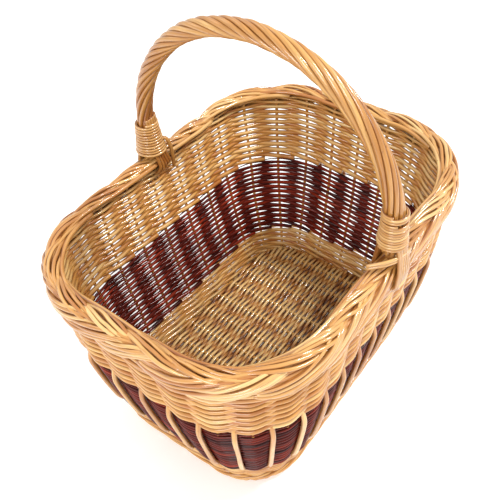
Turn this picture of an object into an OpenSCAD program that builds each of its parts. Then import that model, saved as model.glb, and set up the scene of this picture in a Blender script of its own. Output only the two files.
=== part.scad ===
// Woven willow market basket: a rounded rectangular, flared basket with a dark woven band,
// a plaited border and a fixed rope-twisted bow handle across its middle.
// Millimetres, +Z up, X along the length, origin at the middle of the footprint on the ground.

/* [Overall size] */
// Length over the border
rim_l = 430; // [380:5:500]
// Width over the border
rim_w = 320; // [290:5:380]
// Height of the basket up to the top of the border
body_h = 252; // [235:1:280]
// Outer corner radius of the border seen from above
rim_corner = 109; // [95:1:125]
// How much nearer the centre the foot stands than the border, on every side
base_inset = 42; // [30:1:50]

/* [Bands] */
// Height of the top of the lower natural band
lower_top = 45; // [40:1:60]
// Height of the top of the dark band
dark_top = 148; // [120:1:170]

/* [Base] */
// Height of the foot border
foot_h = 9; // [8:0.5:11]
// Thickness of the woven base
base_t = 8; // [7:0.5:9]
// Number of sticks across the base
stick_n = 11; // [9:2:13]
// Thickness of a base stick
stick_d = 4.6; // [4:0.1:5.2]

/* [Rods] */
// Number of stakes round the side, and of bars between them
stake_n = 34; // [30:2:38]
// How many steps the stakes are drawn towards the middle of one long side
stake_draw = 0.76; // [0:0.02:0.8]
// Thickness of a side stake
stake_d = 4.2; // [3.8:0.1:5]
// Thickness of one woven skin on either face of the stakes
skin_t = 2.8; // [2:0.1:3.2]
// Thickness of the rods of the foot wale
wale_d = 4.2; // [3.8:0.1:4.6]
// Thickness of a bar laid over the dark band
bar_d = 4.6; // [4:0.1:5.4]

/* [Border] */
// Width of the plaited border across the wall
border_w = 22; // [20:1:24]
// Height of the plaited border
border_h = 24; // [22:1:28]
// Thickness of the thick rods along the inner and outer edge of the border
edge_rod_d = 5.4; // [4.6:0.1:6]

/* [Handle] */
// Straight part of each handle leg above the border
leg_h = 35; // [30:1:60]
// Thickness of the bow inside the handle
core_d = 9.2; // [8.8:0.1:9.4]
// Number of rods laid round the bow
handle_rod_n = 9; // [8:1:9]
// Thickness of one handle rod
handle_rod_d = 4.6; // [4:0.1:4.6]
// Height of the wrapped binding at the foot of each leg
binding_h = 44; // [30:1:46]

/* [Hidden] */
$fn = 96;
gap = 0.3;                                   // play between curved faces of different pieces
core_x = rim_l / 2 - rim_corner;             // corner centres, the same at every height
core_y = rim_w / 2 - rim_corner;
wall_top_r = rim_corner - border_w / 2;      // wall radius round a corner centre, at the border
wall_arc = (body_h * body_h + base_inset * base_inset) / (2 * base_inset); // the wall's bulge
border_z = body_h - border_h;
turn_z = body_h - border_w / 2;              // centre of the border's rounded top
slot = stake_d / 2 + gap;                    // half of the space between the two woven skins
skin_out = slot + skin_t;
base_r = wall_r(foot_h) - skin_out - gap;    // corner radius of the woven base
base_reach = core_y + base_r;                // half of the base's width
foot_r = wall_r(0) - 1.5;                    // middle of the foot border
wale_top = foot_h + 2 * (gap + wale_d);
bar_low = lower_top - 5;                     // the bars run a little past the dark band
bar_high = dark_top + 5;
leg_y = core_y + wall_top_r;                 // the handle stands on the middle of the border
bow_z = body_h + leg_h;                      // height of the bow's centre
rods_z = body_h + 5;                         // the laid rods stop here, above the border
rod_ring = core_d / 2 + gap + handle_rod_d / 2;
rod_turn = 360 / handle_rod_n;
bore_r = rod_ring + handle_rod_d / 2 + 1;    // inside of a binding
tie_ring = border_w / 2 + 1 + handle_rod_d / 2;  // the ties turn over the border at this radius
tie_step = handle_rod_d + 0.4;
loop_r = wall_r(dark_top);
loop = 4 * (core_x + core_y) + 2 * PI * loop_r;  // once round the side, at the dark band's top
corner_way = PI / 2 * loop_r;
first_stake = -0.18;                         // stations from a handle leg to the first stake
leg_clear = core_d / 2 + stake_d / 2 + 1.4;  // a stake stands at least this far from a leg
LONG = 0;                                    // the parts of the loop
CORNER = 1;
SHORT = 2;

// Radius of the wall's middle surface round a corner centre, at height z
function wall_r(z) = wall_top_r - wall_arc + sqrt(wall_arc * wall_arc - pow(body_h - z, 2));

// Angle below the rim, on the wall's arc, of the point at height z
function wall_angle(z) = asin((body_h - z) / wall_arc);

// Distance along the loop from the middle of the +Y side to station i, from 0 to a whole loop
function way(i) = (loop + (i + stake_draw * sin(360 * i / stake_n)) * loop / stake_n) % loop;

// A stake's distance along the loop, moved aside where a leg of the handle goes in
function beside_leg(d) =
    let (leg = round(2 * d / loop) * loop / 2)
    abs(d - leg) >= leg_clear ? d : leg + (d < leg ? -leg_clear : leg_clear);

// Which part of the loop lies at this distance, up to half way round
function zone(d) = d <= core_x || d >= loop / 2 - core_x ? LONG
    : d < core_x + corner_way || d > loop / 2 - core_x - corner_way ? CORNER : SHORT;

// Sweeps a profile, drawn as (distance from the corner centre, height), round the basket
module round_the_side() {
    for (end = [0, 180]) rotate([0, 0, end]) {
        translate([core_x, core_y, 0]) rotate_extrude(angle = 90) children();
        translate([-core_x, core_y, 0]) rotate([0, 0, 90]) rotate_extrude(angle = 90) children();
        translate([core_x, core_y, 0]) rotate([90, 0, 0]) linear_extrude(2 * core_y) children();
        translate([-core_x, core_y, 0]) rotate([0, 0, 90]) rotate([90, 0, 0])
            linear_extrude(2 * core_x) children();
    }
}

// Puts an upright, drawn for the side that faces +X, at a distance round the half loop
module at_way(d) {
    if (d <= core_x)
        translate([d, core_y, 0]) rotate([0, 0, 90]) children();
    else if (d < core_x + corner_way)
        translate([core_x, core_y, 0]) rotate([0, 0, 90 - 90 * (d - core_x) / corner_way])
            children();
    else if (d <= loop / 2 - core_x - corner_way)
        translate([core_x, loop / 4 - d, 0]) children();
    else if (d < loop / 2 - core_x)
        translate([core_x, -core_y, 0])
            rotate([0, 0, -90 * (d - loop / 2 + core_x + corner_way) / corner_way]) children();
    else
        translate([loop / 2 - d, -core_y, 0]) rotate([0, 0, -90]) children();
}

// Part of the wall between two heights and two distances from its middle surface
module wall_profile(z0, z1, d0, d1) {
    intersection() {
        translate([wall_top_r - wall_arc, body_h]) difference() {
            circle(wall_arc + d1, $fn = 720);
            circle(wall_arc + d0, $fn = 720);
        }
        translate([0, z0]) square([2 * wall_top_r, z1 - z0]);
    }
}

// A woven band: a skin of weavers inside the stakes and one outside them
module woven_band(z0, z1, outside_z0) {
    round_the_side() wall_profile(outside_z0, z1, slot, skin_out);
    round_the_side() wall_profile(z0, z1, -skin_out, -slot);
}

// A rod that stands on the wall between two heights, out from its middle surface
module upright(z0, z1, out, d) {
    translate([wall_top_r - wall_arc, 0, body_h]) rotate([90, 0, 0])
        rotate([0, 0, -wall_angle(z0)])
            rotate_extrude(angle = wall_angle(z0) - wall_angle(z1))
                translate([wall_arc + out, 0]) circle(d = d);
}

// The side stakes, or the bars half a step between them, on one part of the loop
module uprights(part, ways, z0, z1, out, d) {
    for (distance = ways)
        if (zone(distance % (loop / 2)) == part)
            rotate([0, 0, distance < loop / 2 ? 0 : 180])
                at_way(distance % (loop / 2)) upright(z0, z1, out, d);
}

module stakes(part) {
    ways = [for (i = [0 : stake_n - 1]) beside_leg(way(i + first_stake))];
    color("tan") uprights(part, ways, foot_h + 1, border_z - 0.5, 0, stake_d);
}

module bars(part) {
    ways = [for (i = [0 : stake_n - 1]) way(i + first_stake + 0.5)];
    color("burlywood")
        uprights(part, ways, bar_low, bar_high, skin_out + gap + bar_d / 2, bar_d);
}

// Half the length of the base's outline across, at a distance x from the middle
function base_half(x) = abs(x) <= core_x ? base_reach
    : core_y + sqrt(base_r * base_r - pow(abs(x) - core_x, 2));

// One rod across the base per stick
module across_base(d, grow) {
    pitch = 2 * (core_x + base_r) / stick_n;
    for (i = [0 : stick_n - 1]) {
        x = (i - (stick_n - 1) / 2) * pitch;
        half = base_half(abs(x) + stick_d / 2) + grow;
        translate([x, half, foot_h + base_t / 2]) rotate([90, 0, 0]) cylinder(h = 2 * half, d = d);
    }
}

module base_sticks() {
    color("peru") across_base(stick_d, -1);
}

module base_weave() {
    color("tan") difference() {
        translate([0, 0, foot_h]) union() {
            for (x = [-core_x, core_x], y = [-core_y, core_y])
                translate([x, y, 0]) cylinder(h = base_t, r = base_r);
            translate([-core_x, -base_reach, 0]) cube([2 * core_x, 2 * base_reach, base_t]);
            translate([-core_x - base_r, -core_y, 0])
                cube([2 * (core_x + base_r), 2 * core_y, base_t]);
        }
        across_base(stick_d + 2 * gap, 20);
    }
}

// Two rods side by side with a flat underside to stand on
module foot_border() {
    half_step = foot_h * 0.28;
    color("burlywood") round_the_side() translate([foot_r, foot_h / 2]) {
        for (side = [-1, 1]) translate([side * half_step, 0]) circle(d = foot_h);
        square([2 * half_step, foot_h], center = true);
    }
}

// Two rods wound round outside the stakes, above the foot
module foot_wale() {
    color("burlywood") for (row = [0, 1]) {
        z = foot_h + gap + wale_d / 2 + row * (wale_d + gap);
        round_the_side() translate([wall_r(z) + slot + gap + wale_d / 2, z]) circle(d = wale_d);
    }
}

module lower_band() { color("tan") woven_band(foot_h, lower_top, wale_top + gap); }

module dark_band() { color("maroon") woven_band(lower_top, dark_top, lower_top); }

module upper_band() { color("sandybrown") woven_band(dark_top, border_z, dark_top); }

module stakes_long_sides() { stakes(LONG); }

module stakes_short_sides() { stakes(SHORT); }

module stakes_corners() { stakes(CORNER); }

module bars_long_sides() { bars(LONG); }

module bars_short_sides() { bars(SHORT); }

module bars_corners() { bars(CORNER); }

// Where the thick rod lies: on the inner shoulder of the border's profile, beside the handle
module inner_rod_place() {
    aside = core_d / 2 + gap + edge_rod_d / 2;
    reach = border_w / 2 - edge_rod_d / 2 + gap;
    translate([wall_top_r - aside, turn_z + sqrt(max(0, reach * reach - aside * aside))])
        children();
}

module border_plait() {
    color("burlywood") difference() {
        round_the_side() difference() {
            union() {
                translate([wall_top_r, turn_z]) circle(d = border_w);
                translate([wall_top_r - border_w / 2, border_z])
                    square([border_w, turn_z - border_z]);
            }
            inner_rod_place() circle(d = edge_rod_d + 2 * gap);
        }
        for (side = [-1, 1]) translate([0, side * leg_y, border_z - 1])
            cylinder(h = border_h + 2, d = core_d + 2 * gap);
    }
}

module border_inner_rod() {
    color("wheat") round_the_side() inner_rod_place() circle(d = edge_rod_d);
}

module border_outer_rod() {
    aside = max(border_w / 2 - edge_rod_d / 2, skin_out + gap + edge_rod_d / 2);
    color("wheat") round_the_side()
        translate([wall_top_r + aside, border_z - gap - edge_rod_d / 2]) circle(d = edge_rod_d);
}

// A rod bent like the handle: a half circle on two straight legs, beside the bow's middle line
module bow(out, aside, foot_z, d) {
    translate([aside, 0, bow_z]) rotate([90, 0, 90])
        rotate_extrude(angle = 180) translate([leg_y + out, 0]) circle(d = d);
    for (side = [-1, 1]) translate([aside, side * (leg_y + out), foot_z])
        cylinder(h = bow_z - foot_z, d = d);
}

// The bow, whose thinned ends are pushed down beside the stakes
module handle_core() {
    color("peru") {
        bow(0, 0, border_z, core_d);
        for (turn = [90, -90])
            translate([0, core_y * sign(turn), 0]) rotate([0, 0, turn])
                upright(lower_top, border_z + 4, 0, stake_d - 2 * gap);
    }
}

module handle_rods() {
    color("burlywood") for (i = [0 : handle_rod_n - 1])
        bow(rod_ring * cos(i * rod_turn), rod_ring * sin(i * rod_turn), rods_z, handle_rod_d);
}

module binding(side) {
    color("wheat") translate([0, side * leg_y, rods_z]) difference() {
        cylinder(h = binding_h, r1 = bore_r + 4, r2 = bore_r + 2);
        translate([0, 0, -1]) cylinder(h = binding_h + 2, r = bore_r);
    }
}

module binding_left() { binding(1); }

module binding_right() { binding(-1); }

// Rods that turn over the border and lie down its face; out is 1 outside, -1 inside
module handle_ties(side, out, count, low) {
    color("burlywood") rotate([0, 0, side > 0 ? 0 : 180]) translate([0, leg_y, turn_z])
        for (i = [0 : count - 1]) translate([(i - (count - 1) / 2) * tie_step, 0, 0]) {
            rotate([0, 0, out > 0 ? 0 : 180]) {
                rotate([90, 0, 90]) rotate_extrude(angle = 50)
                    translate([tie_ring, 0]) circle(d = handle_rod_d);
                translate([0, tie_ring, -low]) cylinder(h = low, d = handle_rod_d);
            }
        }
}

module handle_ties_left_outside() { handle_ties(1, 1, 5, 42); }

module handle_ties_left_inside() { handle_ties(1, -1, 3, 30); }

module handle_ties_right_outside() { handle_ties(-1, 1, 5, 42); }

module handle_ties_right_inside() { handle_ties(-1, -1, 3, 30); }

base_sticks();
base_weave();
foot_border();
foot_wale();
lower_band();
dark_band();
upper_band();
stakes_long_sides();
stakes_short_sides();
stakes_corners();
bars_long_sides();
bars_short_sides();
bars_corners();
border_plait();
border_inner_rod();
border_outer_rod();
handle_core();
handle_rods();
binding_left();
binding_right();
handle_ties_left_outside();
handle_ties_left_inside();
handle_ties_right_outside();
handle_ties_right_inside();
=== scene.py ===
"""Woven willow market basket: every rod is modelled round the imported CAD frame.

Lengths are metres. The side is woven in French randing: each band has one weaver per stake,
and each weaver climbs by its own thickness from one stake to the next.
"""
import math

import bpy
import numpy as np
from mathutils import Matrix, Vector


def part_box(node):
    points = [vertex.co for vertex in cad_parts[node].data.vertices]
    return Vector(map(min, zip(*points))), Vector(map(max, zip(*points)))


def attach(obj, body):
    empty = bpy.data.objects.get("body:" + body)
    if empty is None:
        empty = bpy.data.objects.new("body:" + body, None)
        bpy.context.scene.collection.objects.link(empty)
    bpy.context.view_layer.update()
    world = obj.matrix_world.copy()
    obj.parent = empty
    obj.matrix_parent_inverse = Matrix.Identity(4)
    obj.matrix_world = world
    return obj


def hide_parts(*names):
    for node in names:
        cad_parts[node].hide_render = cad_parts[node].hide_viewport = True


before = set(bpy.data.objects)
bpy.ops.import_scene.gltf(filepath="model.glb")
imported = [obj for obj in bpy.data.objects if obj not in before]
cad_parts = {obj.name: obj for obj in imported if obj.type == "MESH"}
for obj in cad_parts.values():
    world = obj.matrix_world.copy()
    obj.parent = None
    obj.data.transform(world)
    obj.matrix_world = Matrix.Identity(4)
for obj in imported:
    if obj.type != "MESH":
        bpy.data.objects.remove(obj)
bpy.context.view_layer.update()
MM = 0.001

# ---------------------------------------------------------------- the frame's sizes
PLAIT_LOW, PLAIT_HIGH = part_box("border_plait")
RIM_Z = PLAIT_HIGH[2]
BORDER_Z = PLAIT_LOW[2]
DARK_LOW, DARK_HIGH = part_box("dark_band")
FOOT_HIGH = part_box("foot_border")[1]
BASE_LOW, BASE_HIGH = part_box("base_weave")
WALE_LOW, WALE_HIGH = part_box("foot_wale")
BAR_LOW, BAR_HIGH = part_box("bars_long_sides")
CORE_LOW, CORE_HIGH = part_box("handle_core")
RODS_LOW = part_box("handle_rods")[0]
BINDING_LOW, BINDING_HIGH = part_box("binding_left")

BORDER_W = 22 * MM
RIM_CORNER = 109 * MM                      # outer corner radius of the border
BASE_INSET = 42 * MM                       # how far the foot stands in from the rim
CORE_X = PLAIT_HIGH[0] - RIM_CORNER        # corner centres, the same at every height
CORE_Y = PLAIT_HIGH[1] - RIM_CORNER
WALL_TOP_R = RIM_CORNER - BORDER_W / 2
WALL_ARC = (RIM_Z ** 2 + BASE_INSET ** 2) / (2 * BASE_INSET)
TURN_Z = RIM_Z - BORDER_W / 2              # centre of the border's rounded top
END_RISE = 4 * MM                          # the rim is this much higher at the two ends

STAKES = 34
FIRST_STAKE = 0.18                         # steps from the middle of the -Y side
STAKE_DRAW = 0.76                          # steps that the stakes are drawn towards that side
LEG_CLEAR = 8.1 * MM                       # a stake stands at least this far from a handle leg
STAKE_D = 3.8 * MM                         # thickness of a stake as it is drawn
LEG_Y = CORE_Y + WALL_TOP_R                # the handle stands on the middle of the border
BOW_Z = CORE_HIGH[2] - (CORE_HIGH[1] - CORE_Y - WALL_TOP_R) - LEG_Y   # the bow's centre
CORE_D = CORE_HIGH[0] - CORE_LOW[0]        # thickness of the bow inside the handle


# ---------------------------------------------------------------- places on the basket
def wall_r(z):
    """Radius of the wall's middle surface round a corner centre."""
    return WALL_TOP_R - WALL_ARC + np.sqrt(WALL_ARC ** 2 - (RIM_Z - z) ** 2)


CORNER_WAY = math.pi / 2 * wall_r(DARK_HIGH[2])
LOOP = 4 * (CORE_X + CORE_Y) + 4 * CORNER_WAY
STEP = LOOP / STAKES                       # from one stake to the next

# Once round the corner centres, counterclockwise from the middle of the -Y side
LEGS = np.cumsum([0, CORE_X, CORNER_WAY, 2 * CORE_Y, CORNER_WAY, 2 * CORE_X, CORNER_WAY,
                  2 * CORE_Y, CORNER_WAY, CORE_X])
LEG_X = CORE_X * np.array([0, 1, 1, 1, 1, -1, -1, -1, -1, 0])
LEG_OUT_Y = CORE_Y * np.array([-1, -1, -1, 1, 1, 1, 1, -1, -1, -1])
LEG_TURN = np.radians([-90, -90, 0, 0, 90, 90, 180, 180, 270, 270])


def unit(vectors):
    return vectors / np.linalg.norm(vectors, axis=-1, keepdims=True)


def stake_way(i):
    """Distance round the loop of stake i. The stakes stand closer together along the -Y side."""
    i = np.asarray(i, float) + FIRST_STAKE
    return STEP * (i + STAKE_DRAW * np.sin(2 * math.pi * (i / STAKES - 0.5)))


def beside_leg(way):
    """The distance of a stake, moved aside where a leg of the handle goes in."""
    leg = round(2 * way / LOOP) * LOOP / 2
    return way if abs(way - leg) >= LEG_CLEAR else leg + math.copysign(LEG_CLEAR, way - leg)


def place(way):
    """Corner-centre point and outward direction at a distance round the loop."""
    way = np.mod(way, LOOP)
    turn = np.interp(way, LEGS, LEG_TURN)
    return np.interp(way, LEGS, LEG_X), np.interp(way, LEGS, LEG_OUT_Y), np.cos(turn), np.sin(turn)


def rise(x, z):
    """The rim's lift towards the two ends, fading to nothing at the foot."""
    return END_RISE * (x / PLAIT_HIGH[0]) ** 2 * (np.clip(z, 0, None) / RIM_Z) ** 2


def on_wall(way, z, out):
    """Points on the wall at height z, out from its middle surface, and the direction out."""
    core_x, core_y, nx, ny = place(way)
    sine = (RIM_Z - z) / WALL_ARC
    cosine = np.sqrt(1 - sine ** 2)
    r = WALL_TOP_R - WALL_ARC + (WALL_ARC + out) * cosine
    x, y = core_x + nx * r, core_y + ny * r
    height = RIM_Z - (WALL_ARC + out) * sine
    points = np.stack([x, y, height + rise(x, height)], -1)
    return points, np.stack([nx * cosine, ny * cosine, -sine + 0 * nx], -1)


def on_rim(way, around, reach):
    """Points round the border's section: around is 0 outside, 90 degrees on top, 180 inside.
    Below 0 the section goes straight down."""
    core_x, core_y, nx, ny = place(way)
    bend = np.maximum(around, 0)
    r = WALL_TOP_R + reach * np.cos(bend)
    x, y = core_x + nx * r, core_y + ny * r
    height = TURN_Z + reach * (np.sin(bend) + np.minimum(around, 0))
    points = np.stack([x, y, height + rise(x, RIM_Z)], -1)
    return points, np.stack([nx * np.cos(bend), ny * np.cos(bend), np.sin(bend)], -1)


WAVES = (1.0, 0.57, 0.31)                  # length and height of the waves of a wobble
WAVES_HEIGHT = 1.2                         # about how high they are when added up


def wobble(rng, t, size, length):
    """A smooth random wander of about that size. Its longest wave has that length."""
    total = np.zeros_like(t)
    for share in WAVES:
        total += share * np.sin(2 * math.pi * t / (length * share) + rng.uniform(0, 2 * math.pi))
    return size * total / WAVES_HEIGHT


# ---------------------------------------------------------------- meshes of rods
END_D = 0.72                               # a rod's cut end, as a share of its thickness
END_LENGTH = 0.25                          # how far a cut end reaches, in radii


class Rods:
    """Round rods that become one mesh, with a tone for each rod and a grain along it."""

    def __init__(self, seed, sides=8):
        self.rng = np.random.default_rng(seed)
        self.sides = sides
        self.points, self.tones, self.faces, self.grain = [], [], [], []
        self.count = 0

    def add(self, path, diameter, facing, closed=False, tone=None, painted_shade=0.0):
        """A rod along a path. facing is a direction that is never along the rod. painted_shade
        deepens the tone on the side that faces that way, as painted shade, and lightens it on the
        other side, as painted light."""
        path = np.asarray(path, float)
        radius = np.broadcast_to(np.asarray(diameter, float) / 2, len(path)).copy()
        tone = self.rng.normal(0.5, 0.17) if tone is None else tone
        tone = np.broadcast_to(tone, len(path))
        painted_shade = np.broadcast_to(painted_shade, len(path))
        facing = np.broadcast_to(facing, path.shape)
        if closed:
            tangent = unit(np.roll(path, -1, 0) - np.roll(path, 1, 0))
        else:
            tangent = unit(np.gradient(path, axis=0))
            path = np.vstack([path[0] - tangent[0] * radius[0] * END_LENGTH, path,
                              path[-1] + tangent[-1] * radius[-1] * END_LENGTH])
            radius = np.r_[radius[0] * END_D, radius, radius[-1] * END_D]
            tangent = np.vstack([tangent[0], tangent, tangent[-1]])
            facing = np.vstack([facing[0], facing, facing[-1]])
            tone = np.r_[tone[0], tone, tone[-1]]
            painted_shade = np.r_[painted_shade[0], painted_shade, painted_shade[-1]]
        across = unit(np.cross(tangent, facing))
        up = np.cross(across, tangent)
        turn = np.linspace(0, 2 * math.pi, self.sides, endpoint=False)
        ring = (across[:, None] * np.cos(turn)[None, :, None]
                + up[:, None] * np.sin(turn)[None, :, None])
        self.points.append((path[:, None] + ring * radius[:, None, None]).reshape(-1, 3))
        # Painted shade and painted light: the tone deepens on the side that faces one way and
        # lightens on the other.
        self.tones.append((tone[:, None] + painted_shade[:, None] * np.sin(turn)).ravel())
        self._skin(path, closed)
        self.count += len(path) * self.sides

    def _skin(self, path, closed):
        """The faces of a rod, with how far along it and how far round it each corner is."""
        rings, sides = len(path), self.sides
        length = np.r_[0, np.cumsum(np.linalg.norm(np.diff(path, axis=0), axis=1))]
        start = self.rng.uniform(0, 5)
        last = rings if closed else rings - 1
        i, j = (a.ravel() for a in np.meshgrid(np.arange(last), np.arange(sides), indexing="ij"))
        near, far = i * sides, (i + 1) % rings * sides
        quads = np.stack([near + j, near + (j + 1) % sides, far + (j + 1) % sides, far + j], -1)
        ahead = np.append(length, length[-1] + np.linalg.norm(path[0] - path[-1]))
        u0, u1 = start + ahead[i], start + ahead[i + 1]
        v0, v1 = j / sides, (j + 1) / sides
        self.faces.append((quads + self.count, 4))
        self.grain.append(np.stack([u0, v0, u0, v1, u1, v1, u1, v0], -1).reshape(-1, 2))
        if not closed:
            rim = np.arange(sides)
            caps = np.stack([rim[::-1], (rings - 1) * sides + rim])
            self.faces.append((caps + self.count, sides))
            self.grain.append(np.tile([start + length[-1], 0.5], (2 * sides, 1)))

    def build(self, name, material, slot, *nodes):
        """Makes the mesh object, which stands for those CAD nodes."""
        points = np.concatenate(self.points)
        loops = np.concatenate([f.ravel() for f, _ in self.faces])
        sizes = np.concatenate([np.full(len(f), n) for f, n in self.faces])
        mesh = bpy.data.meshes.new(name)
        mesh.vertices.add(len(points))
        mesh.vertices.foreach_set("co", points.ravel())
        mesh.loops.add(len(loops))
        mesh.loops.foreach_set("vertex_index", loops.astype(np.int32))
        mesh.polygons.add(len(sizes))
        mesh.polygons.foreach_set("loop_start", np.r_[0, np.cumsum(sizes)[:-1]].astype(np.int32))
        mesh.polygons.foreach_set("use_smooth", sizes == 4)
        mesh.uv_layers.new(name="grain").data.foreach_set("uv", np.concatenate(self.grain).ravel())
        mesh.attributes.new("tone", "FLOAT", "POINT").data.foreach_set(
            "value", np.concatenate(self.tones).astype(np.float32))
        mesh.update(calc_edges=True)
        mesh.validate()
        mesh.materials.append(material)
        piece = bpy.data.objects.new(name, mesh)
        bpy.context.scene.collection.objects.link(piece)
        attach(piece, "root")
        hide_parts(*nodes)


# ---------------------------------------------------------------- materials
class Nodes:
    """Short names for building a material's node tree."""

    def __init__(self, name):
        self.material = bpy.data.materials.new(name)
        self.material.use_nodes = True
        self.tree = self.material.node_tree
        self.shader = self.tree.nodes["Principled BSDF"]

    def new(self, kind, inputs=(), **settings):
        """A node. An input that is a socket is linked, and any other is a value."""
        node = self.tree.nodes.new(kind)
        for key, value in settings.items():
            setattr(node, key, value)
        for key, value in dict(inputs).items():
            if isinstance(value, bpy.types.NodeSocket):
                self.tree.links.new(value, node.inputs[key])
            else:
                node.inputs[key].default_value = value
        return node

    def ramp(self, factor, stops):
        node = self.new("ShaderNodeValToRGB", {"Fac": factor})
        for _ in range(len(stops) - 2):
            node.color_ramp.elements.new(0.5)
        for element, (position, color) in zip(node.color_ramp.elements, stops):
            element.position = position
            element.color = (*color, 1)
        return node.outputs["Color"]

    def mask(self, factor, low, high, most):
        """From 0 where the factor is low to most where it is high, as a grey."""
        return self.ramp(factor, [(low, (0, 0, 0)), (high, (most, most, most))])

    def noise(self, vector, scale, detail=2.0):
        node = self.new("ShaderNodeTexNoise", {"Vector": vector, "Scale": scale, "Detail": detail})
        return node.outputs["Fac"]

    def stretch(self, vector, along, around):
        """The grain's own coordinates, scaled along the rod and round it."""
        node = self.new("ShaderNodeMapping", {"Vector": vector, "Scale": (along, around, 1.0)})
        return node.outputs["Vector"]

    def mix(self, factor, a, b, blend="MIX"):
        node = self.new("ShaderNodeMix", data_type="RGBA", blend_type=blend)
        for socket, value in zip((node.inputs[0], node.inputs[6], node.inputs[7]), (factor, a, b)):
            if isinstance(value, bpy.types.NodeSocket):
                self.tree.links.new(value, socket)
            else:
                socket.default_value = value
        return node.outputs[2]

    def math(self, operation, a, b):
        node = self.new("ShaderNodeMath", {0: a, 1: b}, operation=operation)
        return node.outputs["Value"]

    def link(self, output, name):
        self.tree.links.new(output, self.shader.inputs[name])


def srgb(red, green, blue):
    """A colour as seen on a screen, 0 to 255, as the linear values that a shader takes."""
    return tuple(((c / 255 + 0.055) / 1.055) ** 2.4 if c > 10 else c / 255 / 12.92
                 for c in (red, green, blue))


# Scale of each pattern along a rod, for each metre, and round it
DRIFT = (14, 0.6)
STREAKS = (45, 9)
SPECKS = (160, 3)
FIBRES = (90, 16)
DRIFT_TONE = 1.1                           # how much the tone drifts along a rod


def willow(name, pale, middle, deep, streak, shade_and_grime, gloss=0.8, rough=0.38, shade_and_grime_strength=0.5, haze=0.35):
    """Peeled, buffed or stained willow: each rod has its tone, with streaks and fine grain along,
    and painted shade mixed with grime along the two lines where it touches its neighbours. gloss
    is how much varnish it has, haze how much light the wood under it reflects, and
    shade_and_grime_strength how strong that painted shade and grime is."""
    nodes = Nodes(name)
    grain = nodes.new("ShaderNodeUVMap", uv_map="grain").outputs["UV"]
    tone = nodes.new("ShaderNodeAttribute", attribute_name="tone").outputs["Fac"]
    drift = nodes.noise(nodes.stretch(grain, *DRIFT), 1.0)
    drift = nodes.math("MULTIPLY", nodes.math("SUBTRACT", drift, 0.5), DRIFT_TONE)
    color = nodes.ramp(nodes.math("ADD", tone, drift), [(0.1, pale), (0.5, middle), (0.9, deep)])

    lines = nodes.noise(nodes.stretch(grain, *STREAKS), 1.0, 3.0)
    color = nodes.mix(nodes.mask(lines, 0.48, 0.75, 0.6), color, (*streak, 1))
    specks = nodes.noise(nodes.stretch(grain, *SPECKS), 1.0, 1.0)
    color = nodes.mix(nodes.mask(specks, 0.72, 0.8, 0.7), color, (*streak, 1))

    # Painted shade mixed with grime darkens the two lines where a rod touches its neighbours.
    around = nodes.new("ShaderNodeSeparateXYZ", {"Vector": grain}).outputs["Y"]
    side = nodes.math("COSINE", nodes.math("MULTIPLY", around, 4 * math.pi), 0.0)
    color = nodes.mix(nodes.mask(side, 0.3, 1.0, shade_and_grime_strength), color, (*shade_and_grime, 1))
    nodes.link(color, "Base Color")

    dull = nodes.ramp(lines, [(0.3, (rough - 0.08,) * 3), (0.8, (rough + 0.14,) * 3)])
    nodes.link(dull, "Roughness")
    fine = nodes.noise(nodes.stretch(grain, *FIBRES), 1.0, 3.0)
    bump = nodes.new("ShaderNodeBump", {"Height": fine, "Strength": 0.25, "Distance": 0.3 * MM})
    nodes.link(bump.outputs["Normal"], "Normal")
    nodes.shader.inputs["Coat Weight"].default_value = gloss
    nodes.shader.inputs["Specular IOR Level"].default_value = haze
    nodes.shader.inputs["Coat Roughness"].default_value = 0.09
    nodes.shader.inputs["Coat IOR"].default_value = 1.6
    return nodes.material


STREAK = srgb(146, 84, 34)
# Colour of the painted shade and grime along the lines where rods touch.
SHADE_AND_GRIME = srgb(120, 58, 20)
NATURAL = willow("natural_willow", pale=srgb(226, 186, 120), middle=srgb(204, 148, 74),
                 deep=srgb(174, 108, 46), streak=STREAK, shade_and_grime=SHADE_AND_GRIME, gloss=0.6)
BASE = willow("base_willow", pale=srgb(236, 196, 128), middle=srgb(190, 128, 60),
              deep=srgb(84, 40, 14), streak=srgb(104, 58, 24), shade_and_grime=SHADE_AND_GRIME, shade_and_grime_strength=0.7)
BORDER = willow("border_willow", pale=srgb(224, 186, 122), middle=srgb(204, 150, 80),
                deep=srgb(174, 110, 48), streak=STREAK, shade_and_grime=SHADE_AND_GRIME, gloss=0.9, shade_and_grime_strength=0.75)
HANDLE = willow("handle_willow", pale=srgb(208, 160, 92), middle=srgb(186, 130, 64),
                deep=srgb(144, 82, 28), streak=srgb(136, 80, 32), shade_and_grime=SHADE_AND_GRIME, rough=0.34)
BINDING = willow("binding_willow", pale=srgb(218, 174, 110), middle=srgb(198, 146, 80),
                 deep=srgb(176, 120, 58), streak=srgb(148, 92, 42), shade_and_grime=SHADE_AND_GRIME,
                 gloss=0.9, rough=0.32, shade_and_grime_strength=0.9)
DARK = willow("dark_willow", pale=srgb(144, 44, 20), middle=srgb(100, 24, 12),
              deep=srgb(50, 9, 7), streak=srgb(40, 7, 6), shade_and_grime=srgb(14, 3, 2),
              gloss=0.2, rough=0.42, shade_and_grime_strength=0.7, haze=0.1)


# ---------------------------------------------------------------- the woven side
def weave_swing(phase):
    """From inside a stake (-1) to outside the next (1), nearly straight between them."""
    bend = 0.93
    return -np.arcsin(bend * np.cos(math.pi * phase)) / math.asin(bend)


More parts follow.
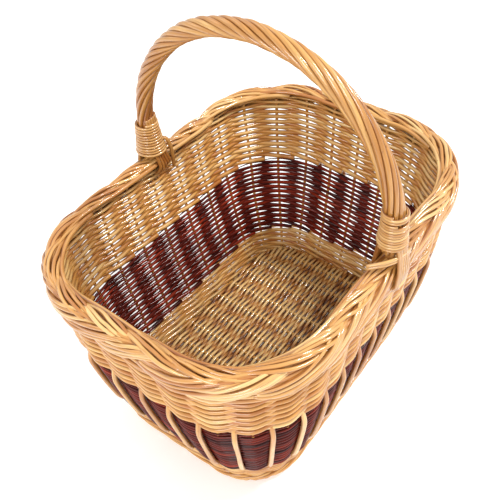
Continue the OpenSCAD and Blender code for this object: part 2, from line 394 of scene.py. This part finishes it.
def randed_band(name, material, slot, node, low, high, levels, taper, snug, tip, relief, tone,
                seed):
    """One weaver per stake. It starts inside its stake at the bottom, passes outside the next and
    so on, and climbs one level per stake. taper is how much it thins on the way up, snug how
    thick it is for the room it has, tip how thin its end is, relief how far it swings, and tone
    how deep its colour is. Painted shade deepens it where it crosses the wall and outside, and
    lightens it inside; it is deepest at its start."""
    ends_at, fades_over, points_per_level = 0.35, 2.5, 9
    rods = Rods(seed)
    pitch = (high - low) / levels
    for first in range(STAKES):
        start = rods.rng.uniform(-0.62, -0.42)
        length = levels + ends_at - start
        phase = np.linspace(start, levels + ends_at, int(length * points_per_level))
        share = np.clip(phase / levels, 0, 1)
        thickness = 1 + taper / 2 - taper * share
        climb = share * (1 + taper / 2 * (1 - share))
        diameter = snug * pitch * thickness * (1 + wobble(rods.rng, phase, 0.05, 7))
        z = low + (high - low) * climb + diameter * 0.4 + wobble(rods.rng, phase, 0.25 * MM, 5)
        z += pitch * np.minimum(phase, 0)
        swing = np.where(phase < 0, -1.0 + 0.1 * phase, weave_swing(phase))
        out = (STAKE_D + diameter) / 2 * relief * swing + wobble(rods.rng, phase, 0.2 * MM, 3)
        fade = np.clip((levels + ends_at - phase) / fades_over, tip, 1)
        path, facing = on_wall(stake_way(first + phase), z, out)
        # Painted shade: deeper where the weaver crosses the wall and outside, lighter inside.
        shade = rods.rng.normal(tone, 0.16) + 0.26 * (1 - np.abs(swing)) + 0.13 * swing
        shade += 0.4 * (phase < -0.1)
        rods.add(path, diameter * fade, facing, tone=shade)
    rods.build(name, material, slot, node)


TOP_BENDS = 20 * MM                        # length of an upright's top that bends in
FOOT_BENDS = 14 * MM                       # length of its foot that does
FOOT_TUCK = 0.35                           # how far the foot bends in, as a share of the top


def uprights(name, node, ways, low, high, out, diameter, tone, seed, tuck=0.0):
    """Rods that stand on the wall. tuck bends their tops in under the weave, and their feet less."""
    rods = Rods(seed, sides=10)
    for way in ways:
        z = np.linspace(low + rods.rng.uniform(-1, 1) * MM, high, 26)
        top = np.clip((z - high + TOP_BENDS) / TOP_BENDS, 0, 1)
        foot = np.clip((low + FOOT_BENDS - z) / FOOT_BENDS, 0, 1)
        path, facing = on_wall(way + wobble(rods.rng, z, 0.6 * MM, 0.2), z,
                               out - tuck * (top ** 2 + FOOT_TUCK * foot ** 2))
        rods.add(path, diameter * (1 + wobble(rods.rng, z, 0.04, 0.15)), facing,
                 tone=rods.rng.normal(tone, 0.12))
    rods.build(name, NATURAL, "natural_willow", node)


def part_of_side(way):
    """long_sides, short_sides or corners: where this distance round the loop is."""
    leg = int(np.searchsorted(LEGS, way % LOOP, side="right"))
    return {1: "long_sides", 3: "short_sides", 5: "long_sides", 7: "short_sides",
            9: "long_sides"}.get(leg, "corners")


def build_bands():
    randed_band("lower_weave", NATURAL, "natural_willow", "lower_band",
                low=BASE_LOW[2] + 1 * MM, high=DARK_LOW[2], levels=10,
                taper=0.1, snug=1.28, tip=0.7, relief=0.45, tone=0.34, seed=11)
    randed_band("dark_weave", DARK, "dark_willow", "dark_band",
                low=DARK_LOW[2], high=DARK_HIGH[2], levels=30,
                taper=0.4, snug=1.17, tip=0.3, relief=0.62, tone=0.4, seed=12)
    randed_band("upper_weave", NATURAL, "natural_willow", "upper_band",
                low=DARK_HIGH[2] + 3 * MM, high=BORDER_Z + 8 * MM, levels=22,
                taper=0.4, snug=1.24, tip=0.7, relief=0.64, tone=0.36, seed=13)


def build_uprights():
    """The stakes in the wall, and the bars laid over the dark band halfway between them."""
    stakes = [beside_leg(float(way)) for way in stake_way(np.arange(STAKES))]
    bars = [float(way) for way in stake_way(np.arange(STAKES) - 0.5)]
    for seed, part in enumerate(("long_sides", "short_sides", "corners")):
        uprights("side_stakes_" + part, "stakes_" + part,
                 [way for way in stakes if part_of_side(way) == part],
                 low=BASE_LOW[2] + 2 * MM, high=BORDER_Z + 6 * MM, out=0.0,
                 diameter=STAKE_D, tone=0.6, seed=20 + seed)
        uprights("side_bars_" + part, "bars_" + part,
                 [way for way in bars if part_of_side(way) == part],
                 low=BAR_LOW[2] + 20.5 * MM, high=BAR_HIGH[2] + 6 * MM,
                 out=STAKE_D / 2 + 3.4 * MM, diameter=5.4 * MM, tone=0.55, seed=30 + seed,
                 tuck=6 * MM)


# ---------------------------------------------------------------- base and foot
BASE_MIDDLE_Z = (BASE_LOW[2] + BASE_HIGH[2]) / 2
BASE_CORNER = BASE_HIGH[0] - CORE_X        # corner radius of the base
STICKS = 11
STICK_D = 4.8 * MM
STICK_PITCH = 2 * BASE_HIGH[0] / STICKS


def base_half(aside, corner, core_aside, core_along):
    """Half the base's length at a distance to one side of its middle, with its rounded corners."""
    inside = max(abs(aside) - core_aside, 0)
    return core_along + math.sqrt(max(corner ** 2 - inside ** 2, 0))


def build_base_sticks():
    rods = Rods(41, sides=10)
    for i in range(STICKS):
        x = (i - (STICKS - 1) / 2) * STICK_PITCH
        half = base_half(x, BASE_CORNER, CORE_X, CORE_Y) - 1 * MM
        y = np.linspace(-half, half, 24)
        path = np.stack([x + wobble(rods.rng, y, 0.6 * MM, 0.2), y, BASE_MIDDLE_Z + 0 * y], -1)
        rods.add(path, STICK_D, (0, 0, 1))
    rods.build("base_frame", NATURAL, "natural_willow", "base_sticks")


def build_base_weavers():
    """Plain weave over and under the sticks. Painted shade and light: on its top side a weaver is
    darker where it lies low and lighter where it lies high, and on its underside the other way
    round.
    """
    weaver_d, row_pitch = 4.3 * MM, 3.25 * MM
    # The middle number is how much painted shade a weaver gets for each metre that it lies low.
    swing_share, shade_per_metre, points_per_stick = 0.27, 290, 9
    rods = Rods(42)
    rows = int(2 * BASE_HIGH[1] / row_pitch)
    for row in range(rows):
        y = (row - (rows - 1) / 2) * 2 * (BASE_HIGH[1] - weaver_d / 2) / (rows - 1)
        half = base_half(y, BASE_CORNER + 1 * MM, CORE_Y, CORE_X)
        x = np.linspace(-half, half, int(2 * half / (STICK_PITCH / points_per_stick)))
        side = 1 if row % 2 else -1
        lift = side * (STICK_D + weaver_d) * swing_share * weave_swing(x / STICK_PITCH)
        sway = wobble(rods.rng, x, 0.35 * MM, 0.09)
        z = BASE_MIDDLE_Z + lift + wobble(rods.rng, x, 0.3 * MM, 0.07)
        # The tone carries painted shade and painted light from how high the weaver lies.
        rods.add(np.stack([x, y + sway, z], -1), weaver_d * rods.rng.uniform(0.88, 1.06),
                 (0, 0, 1), tone=rods.rng.normal(0.5, 0.18), painted_shade=-shade_per_metre * lift)
    rods.build("base_weavers", BASE, "base_willow", "base_weave")


def roped_ring(name, node, centre_z, out, wide, high, diameter, strands, turns, seed):
    """Rods laid round the basket like a flattened rope. out is from the wall to its middle."""
    rods = Rods(seed, sides=10)
    way = np.linspace(0, LOOP, STAKES * 12, endpoint=False)
    for strand in range(strands):
        lay = 2 * math.pi * (turns * way / LOOP + strand / strands)
        path, facing = on_wall(way, centre_z + 0 * way, out + wide * np.cos(lay))
        path[:, 2] += centre_z - path[:, 2] + high * np.sin(lay)
        rods.add(path, diameter, facing, closed=True)
    rods.build(name, NATURAL, "natural_willow", node)


def build_foot():
    foot_z = FOOT_HIGH[2] / 2
    foot_d, foot_wide = 5.8 * MM, 4.6 * MM
    foot_out = FOOT_HIGH[0] - CORE_X - float(wall_r(foot_z)) - foot_wide
    roped_ring("foot_rope", "foot_border", foot_z, foot_out, wide=foot_wide,
               high=foot_z - foot_d / 2, diameter=foot_d, strands=3, turns=24, seed=51)
    wale_z = (WALE_LOW[2] + WALE_HIGH[2]) / 2
    roped_ring("foot_wale_rods", "foot_wale", wale_z, 4.2 * MM, wide=1.4 * MM,
               high=2.3 * MM, diameter=4.4 * MM, strands=3, turns=12, seed=52)


# ---------------------------------------------------------------- border
LEAVES = 24                                # leaves of the plait along each edge
LEAF_PITCH = LOOP / LEAVES
LEAF_RODS = 4                              # rods side by side in a leaf
LEAF_REACH = 6.0 * MM                      # of a leaf's start, from the middle of the border
LEAF_ABREAST = 9.6 * MM                    # the reach at which a leaf's rods lie side by side
RINGS = STAKES * 7                         # points on a rod that runs all the way round


def plait_leaf(rods, way, turn_from, turn_to, ease, length, rod):
    """A bundle of rods that comes from one edge of the border, rises over the bundles from the
    other edge, and dives under the next of them."""
    t = np.linspace(0, 1, 38)
    turn_from += rods.rng.uniform(-9, 9)
    turn_to += rods.rng.uniform(-10, 10)
    length *= rods.rng.uniform(0.86, 1.14)
    leaf_tone = rods.rng.normal(0.48, 0.13)
    middle = np.radians(turn_from + (turn_to - turn_from) * (1 - (1 - t) ** ease))
    width = 0.6 + 0.56 * np.sin(math.pi * t ** 0.85)              # pointed at both ends
    swell = (5.2 * np.sin(math.pi * t) ** 0.9 - 1.8 * t) * MM     # over, and then under
    for k in range(LEAF_RODS):
        side = k - (LEAF_RODS - 1) / 2
        around = middle + side * rod * width / LEAF_ABREAST + wobble(rods.rng, t, 0.04, 0.8)
        crown = 0.28 * side ** 2 * MM
        reach = LEAF_REACH + swell - crown + wobble(rods.rng, t, 0.25 * MM, 0.7)
        shift = rods.rng.uniform(-4, 4) * MM
        path, facing = on_rim(way + shift + length * t, around, reach)
        # A leaf's last fifth, where it dives under the next bundle, gets a deeper tone as painted
        # shade.
        rods.add(path, rod * rods.rng.uniform(0.84, 1.1) * (1.05 - 0.2 * t), facing,
                 tone=rods.rng.normal(leaf_tone, 0.13) + 0.3 * np.clip(t - 0.8, 0, 1) / 0.2)


def build_plait():
    """Pointed bundles of rods from both edges of the border, laid over rods that run along it."""
    plait = Rods(61, sides=10)
    way = np.linspace(0, LOOP, RINGS, endpoint=False)
    for degrees in range(-60, 131, 30):
        angle = math.radians(degrees) + wobble(plait.rng, way, 0.12, 0.2)
        path, facing = on_rim(way, angle, 5.6 * MM + wobble(plait.rng, way, 0.5 * MM, 0.1))
        # The rods underneath get a deep tone as painted shade in the gaps between the leaves.
        plait.add(path, 4.4 * MM, facing, closed=True, tone=0.85)
    for k in range(LEAVES):
        way = (k + plait.rng.uniform(-0.1, 0.1)) * LEAF_PITCH
        plait_leaf(plait, way, turn_from=146, turn_to=56, ease=1.45,
                   length=1.6 * LEAF_PITCH, rod=4.2 * MM)
        plait_leaf(plait, way + 0.4 * LEAF_PITCH, turn_from=-135, turn_to=76, ease=1.15,
                   length=2.1 * LEAF_PITCH, rod=4.5 * MM)
    plait.build("border_plait_rods", BORDER, "border_willow", "border_plait")


def build_inner_edge():
    """Long thick rods along the border's inner edge, each running over the start of the next.
    Each comes up from low inside, thins along its way and dives under at its tip."""
    rods = Rods(62, sides=12)
    count, overlap = 12, 1.45
    along = np.linspace(0, 1, 40)
    degrees = 168 - 42 * along
    reach = (8.0 + 3.0 * np.sin(math.pi * along ** 0.8)) * MM
    thickness = (5.6 - 1.8 * along) * MM
    for k in range(count):
        way = (k + rods.rng.uniform(-0.1, 0.1) + along * overlap) * LOOP / count
        around = np.radians(degrees) + wobble(rods.rng, along, 0.03, 0.7)
        path, facing = on_rim(way, around, reach)
        rods.add(path, thickness, facing)
    rods.build("border_inner_edge", BORDER, "border_willow", "border_inner_rod")


def build_outer_edge():
    """Two rods laid round outside, under the plait, that wave in and out."""
    rods = Rods(63, sides=12)
    waves = 12
    way = np.linspace(0, LOOP, STAKES * 10, endpoint=False)
    for below in (3 * MM, 7.4 * MM):
        z = BORDER_Z - below
        out = 5.2 * MM + 1.0 * MM * np.sin(2 * math.pi * way / LOOP * waves + z / MM)
        path, facing = on_wall(way, z + wobble(rods.rng, way, 0.8 * MM, 0.12), out)
        rods.add(path, 4.8 * MM, facing, closed=True)
    rods.build("border_outer_edge", BORDER, "border_willow", "border_outer_rod")


# ---------------------------------------------------------------- handle
# How far a twisted rod slants in degrees, by the share of the bow from its left foot.
SLANTS = {0: 10, 0.06: 13, 0.22: 24, 0.5: 24, 0.8: 11, 1: 8}


def bow_points(count, foot_z):
    """Points along the bow's middle line from the +Y foot to the -Y foot, and the way out of it."""
    straight = BOW_Z - foot_z
    way = np.linspace(0, 2 * straight + math.pi * LEG_Y, count)
    turn = np.clip((way - straight) / LEG_Y, 0, math.pi)
    past = way - straight - math.pi * LEG_Y
    z_after_foot = np.where(past > 0, BOW_Z - past, BOW_Z + LEG_Y * np.sin(turn))
    z = np.where(way < straight, foot_z + way, z_after_foot)
    points = np.stack([0 * way, LEG_Y * np.cos(turn), z], -1)
    outward = np.stack([0 * way, np.cos(turn), np.sin(turn)], -1)
    return way, points, outward


def build_bow():
    """The thick rod in the middle of the handle."""
    rods = Rods(71, sides=16)
    _, points, outward = bow_points(200, BORDER_Z + 6 * MM)
    rods.add(points, CORE_D, outward)
    rods.build("handle_bow", HANDLE, "handle_willow", "handle_core")


def build_twisted_rods():
    """The rods wrapped round the bow. They are deeper in tone towards the left foot."""
    rods = Rods(72, sides=12)
    count, rod, pressed_in = 9, 4.9 * MM, 0.1 * MM
    ring = CORE_D / 2 + rod / 2 - pressed_in
    way, points, outward = bow_points(260, RODS_LOW[2] + 4 * MM)
    share = way / way[-1]
    slant = np.radians(np.interp(share, list(SLANTS), list(SLANTS.values())))
    twist = np.cumsum(np.tan(slant) / (ring + rod / 2) * np.gradient(way))
    for k in range(count):
        angle = 2 * math.pi * k / count - twist
        away = outward * np.cos(angle)[:, None] + np.array([1.0, 0, 0]) * np.sin(angle)[:, None]
        swell = ring + wobble(rods.rng, way, 0.25 * MM, 0.3)
        tone = rods.rng.normal(0.42, 0.12) + 0.38 * np.clip(1 - share / 0.4, 0, 1)
        rods.add(points + away * swell[:, None], rod * rods.rng.uniform(0.93, 1.08), away,
                 tone=tone)
    rods.build("handle_twisted_rods", HANDLE, "handle_willow", "handle_rods")


# ---------------------------------------------------------------- bindings and ties
WOUND_ON = 9.6 * MM                        # radius of the handle inside a binding
FLARE_LENGTH = 44 * MM                     # a binding this far below its top is wider by flare
VIEW_SIDE = math.atan2(-0.64, -0.77)       # direction of the photo's camera, seen from above
TIE_D = 3.9 * MM
TIE_END = 14 * MM                          # length of a tie's end that goes back into the weave
TIE_END_IN = 13 * MM                       # how far in it goes


def wind(rods, side, low, high, start, turns, rod, flare):
    """A thin rod wound round the foot of the handle, wider towards the border."""
    t = np.linspace(0, turns, int(turns * 36))
    z = high - rod / 2 - (high - low - rod) * t / turns
    r = WOUND_ON + rod / 2 + flare * np.clip((BINDING_HIGH[2] - z) / FLARE_LENGTH, 0, 1.2) ** 1.5
    r = r * (1 + wobble(rods.rng, t, 0.012, 2.3))
    angle = start + 2 * math.pi * t * side
    path = np.stack([r * np.cos(angle), side * LEG_Y + r * np.sin(angle), z], -1)
    facing = np.stack([np.cos(angle), np.sin(angle), 0 * t], -1)
    rods.add(path, rod, facing, tone=0.45 + wobble(rods.rng, t, 0.2, 2.7))


def build_left_binding():
    """The wound rod, and the short ends that it holds at its top."""
    rods = Rods(81, sides=10)
    wind(rods, 1, low=BINDING_LOW[2], high=BINDING_HIGH[2] - 4 * MM, start=VIEW_SIDE,
         turns=11.4, rod=3.2 * MM, flare=4.8 * MM)
    held_ends = 6
    for k in range(held_ends):
        angle = VIEW_SIDE + math.radians(12 + 16 * k)
        away = np.array([math.cos(angle), math.sin(angle), 0.0])
        foot = np.array([0, LEG_Y, BINDING_HIGH[2] - 8 * MM]) + away * 10.6 * MM
        tip = foot + np.array([0, 0, (8.5 + 0.7 * k) * MM]) - away * 0.8 * MM
        rods.add(np.linspace(foot, tip, 6), 3.4 * MM, away, tone=0.7)
    rods.build("binding_wound_left", BINDING, "binding_willow", "binding_left")


def build_right_binding():
    """The wound rod, a few more turns above it, and two ends that cross in front of its foot."""
    rods = Rods(82, sides=10)
    wind(rods, -1, low=BINDING_LOW[2] + 13 * MM, high=BINDING_HIGH[2] - 1 * MM, start=VIEW_SIDE,
         turns=9.2, rod=3.1 * MM, flare=4.6 * MM)
    wind(rods, -1, low=BINDING_HIGH[2] - 2 * MM, high=BINDING_HIGH[2] + 8.5 * MM,
         start=VIEW_SIDE - 0.4, turns=2.6, rod=3.1 * MM, flare=3 * MM)
    t = np.linspace(-0.12, 1, 24)          # along a crossing end
    bulge = np.sin(math.pi * t)
    for k in range(2):
        path = np.stack([(9 - 37 * t - 4 * bulge) * MM,
                         -LEG_Y + (-12 - 7 * bulge + 21 * t) * MM,
                         TURN_Z + (17 + 5 * bulge - 3.3 * k) * MM], -1)
        rods.add(path, 3.7 * MM, (-0.5, -0.5, 0.7), tone=0.3)
    rods.build("binding_wound_right", BINDING, "binding_willow", "binding_right")


def add_loop(rods):
    """One rod that bows up beside the left foot of the handle and goes down inside the basket."""
    t = np.linspace(0, 1, 30)
    path = np.stack([(5 + 16 * t ** 0.6) * MM,
                     LEG_Y - (9 + 5 * np.sin(math.pi * t)) * MM,
                     TURN_Z + (26 + 9 * np.sin(math.pi * t ** 0.7) - 42 * t ** 1.6) * MM], -1)
    rods.add(path, 4.4 * MM, (-0.6, -0.8, 0), tone=0.5)


def build_ties(name, node, side, out, count, seed, lean=0, looped=False):
    """Rods from under the binding that turn over the border, fan out and run down its face.
    side is 1 at the left foot of the handle and -1 at the right one. out is 1 for the rods on
    the border's outer face and -1 for its inner face. lean moves them along the border."""
    rods = Rods(seed, sides=12)
    low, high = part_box(node)
    start = BINDING_LOW[2] + (9 if side > 0 else 20) * MM
    tone, over_border = (0.35, 6.2) if out > 0 else (0.75, 4.6)
    for k in range(count):
        aside = (low[0] + high[0]) / 2 + (k - (count - 1) / 2) * TIE_D
        end = low[2] + rods.rng.uniform(10, 18) * MM
        z = np.linspace(start, end, 26)
        over = np.clip((start - z) / (start - TURN_Z), 0, 1)
        y = (8.6 + over_border * over ** 0.8) * MM - 0.1 * np.clip(TURN_Z - z, 0, None)
        y -= TIE_END_IN * np.clip((end + TIE_END - z) / TIE_END, 0, 1) ** 1.5
        y += wobble(rods.rng, z, 0.4 * MM, 0.05)
        fan = 0.7 + 0.45 * np.linspace(0, 1, len(z))
        path = np.stack([aside * fan + lean * over, side * (LEG_Y + out * y), z], -1)
        rods.add(path, TIE_D * rods.rng.uniform(0.9, 1.06), (0, side * out, 0.1), tone=tone)
    if looped:
        add_loop(rods)
    rods.build(name, HANDLE, "handle_willow", node)


def build_handle_feet():
    build_left_binding()
    build_right_binding()
    build_ties("ties_left_outside", "handle_ties_left_outside", side=1, out=1, count=6, seed=91)
    build_ties("ties_left_inside", "handle_ties_left_inside", side=1, out=-1, count=5, seed=95,
               lean=5 * MM, looped=True)
    build_ties("ties_right_outside", "handle_ties_right_outside", side=-1, out=1, count=6,
               seed=92)
    build_ties("ties_right_inside", "handle_ties_right_inside", side=-1, out=-1, count=5,
               seed=96)


# ---------------------------------------------------------------- stage, light and camera
def build_stage():
    bpy.ops.mesh.primitive_plane_add(size=12)
    floor = bpy.context.object
    floor.name = "floor"
    nodes = Nodes("pale_floor")
    nodes.shader.inputs["Base Color"].default_value = (0.97, 0.97, 0.97, 1)
    nodes.shader.inputs["Roughness"].default_value = 0.9
    nodes.shader.inputs["Emission Color"].default_value = (1, 1, 1, 1)
    nodes.shader.inputs["Emission Strength"].default_value = 0.1
    floor.data.materials.append(nodes.material)

    world = bpy.data.worlds.new("studio")
    bpy.context.scene.world = world
    world.use_nodes = True
    world.node_tree.nodes["Background"].inputs["Color"].default_value = (1, 1, 1, 1)
    world.node_tree.nodes["Background"].inputs["Strength"].default_value = 0.78
    add_light("key", (0.75, -0.85, 1.75), size=0.36, watts=29)
    add_light("fill", (-2.0, -0.4, 1.6), size=1.0, watts=34)
    add_light("back", (-0.4, 1.6, 1.7), size=1.2, watts=6)


def add_light(name, spot, size, watts):
    """A square lamp at a spot, turned to the middle of the basket."""
    light = bpy.data.lights.new(name, "AREA")
    light.size = size
    light.energy = watts
    lamp = bpy.data.objects.new(name, light)
    lamp.location = spot
    to_basket = Vector((0, 0, 0.15)) - Vector(spot)
    lamp.rotation_euler = to_basket.to_track_quat("-Z", "Y").to_euler()
    bpy.context.scene.collection.objects.link(lamp)


def build_camera():
    """The picture's view: azimuth, elevation and roll round a point inside the basket."""
    azimuth, elevation, roll = (math.radians(a) for a in (-50.11, 44.52, -4.79))
    target, distance = Vector((10.33, 26.88, 156.73)) * MM, 772
    back = Vector((math.sin(azimuth) * math.cos(elevation),
                   -math.cos(azimuth) * math.cos(elevation), math.sin(elevation)))
    level = Vector((0, 0, 1)).cross(back).normalized()
    upright = back.cross(level)
    right = level * math.cos(roll) + upright * math.sin(roll)
    up = upright * math.cos(roll) - level * math.sin(roll)
    data = bpy.data.cameras.new("camera")
    data.lens = 48.35
    data.sensor_width = 36
    camera = bpy.data.objects.new("camera", data)
    turned = Matrix((right, up, back)).transposed().to_4x4()
    camera.matrix_world = Matrix.Translation(target + back * distance * MM) @ turned
    bpy.context.scene.collection.objects.link(camera)
    bpy.context.scene.camera = camera


build_bands()
build_uprights()
build_base_sticks()
build_base_weavers()
build_foot()
build_plait()
build_inner_edge()
build_outer_edge()
build_bow()
build_twisted_rods()
build_handle_feet()
build_stage()
build_camera()
bpy.context.scene.view_settings.view_transform = "Standard"
